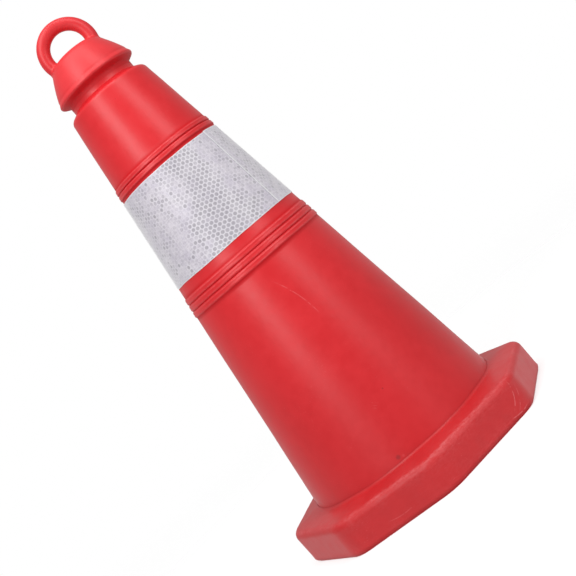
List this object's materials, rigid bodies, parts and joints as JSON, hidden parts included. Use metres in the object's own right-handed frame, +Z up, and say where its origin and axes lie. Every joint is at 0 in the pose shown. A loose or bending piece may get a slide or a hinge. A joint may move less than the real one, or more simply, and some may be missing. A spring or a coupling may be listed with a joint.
{
  "type": "traffic cone",
  "caption": "Ringed traffic cone: hollow tapered shell with ribs and a reflective sleeve, capped neck with a lifting ring, and a ballasted octagonal base with a screw filler plug.",
  "frame": {"origin": "on the floor, under the middle of the cone: the centre of the base's underside", "axes": "+Z up along the cone's axis; +X along the lifting ring's plane, the ring's hole looks along Y; the filler plug is at the back, +Y"},
  "size_m": [0.361, 0.361, 0.702],
  "materials": {
    "red_shell": "satin moulded polyethylene",
    "red_cap": "satin moulded polyethylene, slightly lighter",
    "red_base": "matte, scuffed polyethylene",
    "reflective_film": "prismatic reflective film with a honeycomb pattern",
    "dark_plate": "matte recycled plastic",
    "ballast_fill": "rough bound sand and rubber crumb",
    "screw_steel": "zinc plated",
    "seal_rubber": "matte",
    "plug_plastic": "satin"
  },
  "bodies": {
    "cone": {"cone_body": "red_shell", "reflective_sleeve": "reflective_film", "ring_cap": "red_cap", "lifting_ring": "red_cap", "base_shell": "red_base", "base_plate": "dark_plate", "ballast": "ballast_fill", "base_screws": "screw_steel"},
    "seal": {"plug_seal": "seal_rubber"},
    "plug": {"filler_plug": "plug_plastic"}
  },
  "joints": [
    {"name": "plug_lift", "type": "slide", "parent": "cone", "child": "seal", "axis": [0, 0, 1], "range_m": [0, 0.008]},
    {"name": "plug_turn", "type": "hinge", "parent": "seal", "child": "plug", "pos_m": [0, 0.157, 0.051], "axis": [0, 0, 1], "range_deg": [0, 720]}
  ],
  "couplings": [
    {"joint": "plug_lift", "follows": "plug_turn", "m_per_rad": 0.00063662}
  ]
}
